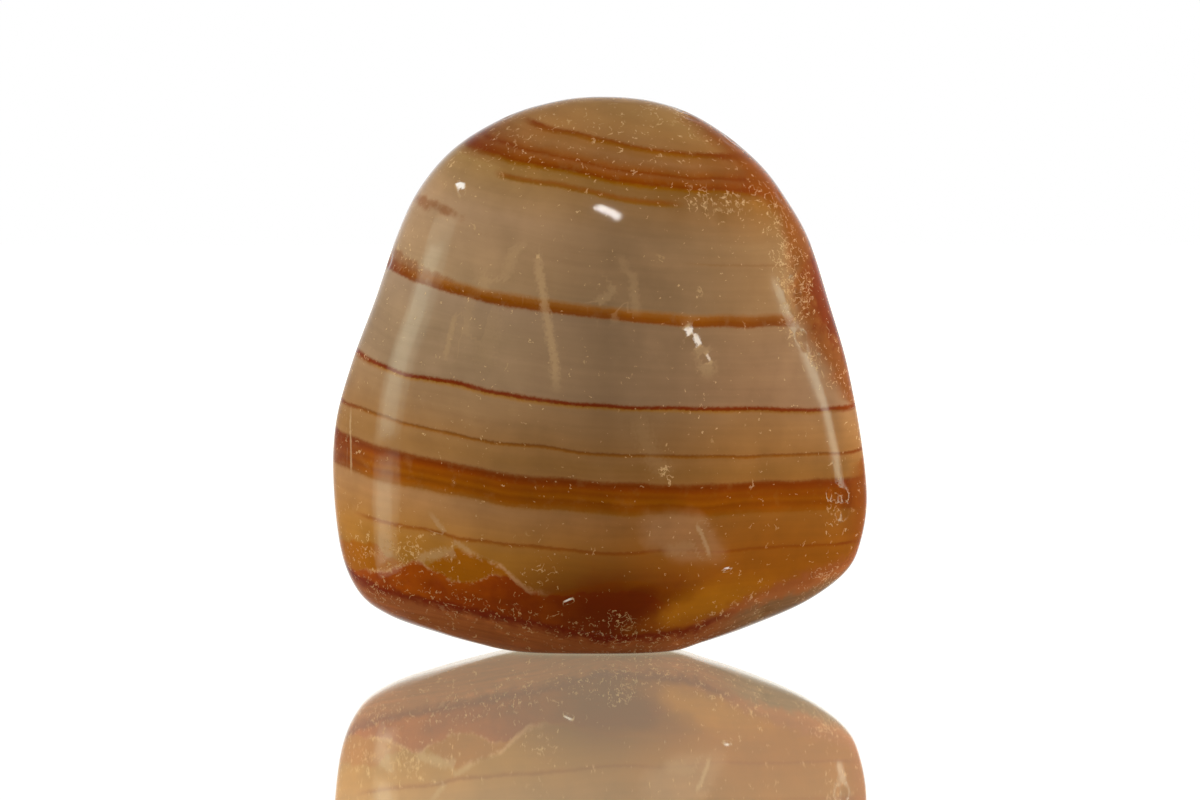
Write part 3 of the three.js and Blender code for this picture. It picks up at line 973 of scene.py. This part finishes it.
def make_light(
    name, place, size, radiance, colour=WHITE, target=LIT_MIDDLE, turn=0, mirrored=True, lighting=True
):
    """An area light with its place and size in mm, turned about its own axis by degrees.

    One that isn't mirrored only lights the stone, and one that isn't lighting only shines in its polish.
    """
    data = bpy.data.lights.new(name, "AREA")
    data.shape = "RECTANGLE"
    data.size = size[0] * MM
    data.size_y = size[1] * MM
    data.energy = radiance * np.pi * data.size * data.size_y
    data.color = colour
    light = bpy.data.objects.new(name, data)
    bpy.context.scene.collection.objects.link(light)
    aim(light, place, target)
    light.rotation_euler.rotate_axis("Z", np.radians(turn))
    light.visible_glossy = mirrored
    light.visible_diffuse = lighting
    light.visible_camera = False
    return light


def shine_only_on(light, thing):
    """Lets a lamp reach one thing alone, so that the floor doesn't mirror it."""
    reached = bpy.data.collections.new("shone_on")
    reached.objects.link(thing)
    light.light_linking.receiver_collection = reached


def make_world():
    """White to the eye. As light it is brightest behind the stone, dimmer at its sides and dim in front."""
    world = bpy.data.worlds.new("studio")
    world.use_nodes = True
    tree = world.node_tree
    tree.nodes.clear()
    direction = add(tree, "ShaderNodeTexCoord").outputs["Generated"]
    split = add(tree, "ShaderNodeSeparateXYZ", {0: direction}).outputs
    side_limits = {"Value": split["Y"], "From Min": -0.6, "From Max": 0.3, "To Min": 0.07, "To Max": 0.45}
    beside = add(tree, "ShaderNodeMapRange", side_limits, interpolation_type="SMOOTHSTEP")
    back_limits = {"Value": split["Y"], "From Min": 0.6, "From Max": 0.95, "To Max": 0.5}
    behind = add(tree, "ShaderNodeMapRange", back_limits, interpolation_type="SMOOTHSTEP")
    around = add(tree, "ShaderNodeMath", {0: beside, 1: behind}, operation="ADD")
    top_limits = {"Value": split["Z"], "From Min": 0.1, "From Max": 0.9, "To Min": 1.0, "To Max": 0.5}
    above = add(tree, "ShaderNodeMapRange", top_limits)
    brightness = add(tree, "ShaderNodeMath", {0: around, 1: above}, operation="MULTIPLY")
    seen = add(tree, "ShaderNodeLightPath").outputs["Is Camera Ray"]
    strength = add(tree, "ShaderNodeMix", {"Factor": seen, "A": brightness, "B": 1.0})
    background = add(tree, "ShaderNodeBackground", {"Color": (1, 1, 1, 1), "Strength": strength})
    add(tree, "ShaderNodeOutputWorld", {"Surface": background})
    bpy.context.scene.world = world


def make_stone():
    """The polished stone, one piece at the origin."""
    mesh, field_names = stone_mesh()
    mesh.materials.append(banded_chalcedony(field_names))
    stone = bpy.data.objects.new("sardonyx_polished", mesh)
    bpy.context.scene.collection.objects.link(stone)
    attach(stone, "root")
    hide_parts("sardonyx_stone")
    return stone


make_camera()
make_world()
make_light("left_wall", (-308, -122, 100), (160, 300), 9.0, mirrored=False)
make_light("right_wall", (308, -122, 100), (160, 300), 7.4, mirrored=False)
make_light("left_strip", (-321, -74, 76), (120, 140), 5.5, STRIP_COLOUR, lighting=False)
make_light("left_strip_core", (-318, -70, 54), (66, 84), 8.0, STRIP_COLOUR, lighting=False)
make_light("right_strip", (315, -99, 14), (24, 52), 24.0, STRIP_COLOUR, turn=-5, lighting=False)
glint = make_light(
    "upper_glint", (47, -355, 218), (118, 26), 110.0, target=(0, -8, 24), turn=-45, lighting=False
)
make_floor()
stone = make_stone()
shine_only_on(glint, stone)
bpy.context.scene.view_settings.view_transform = "Standard"
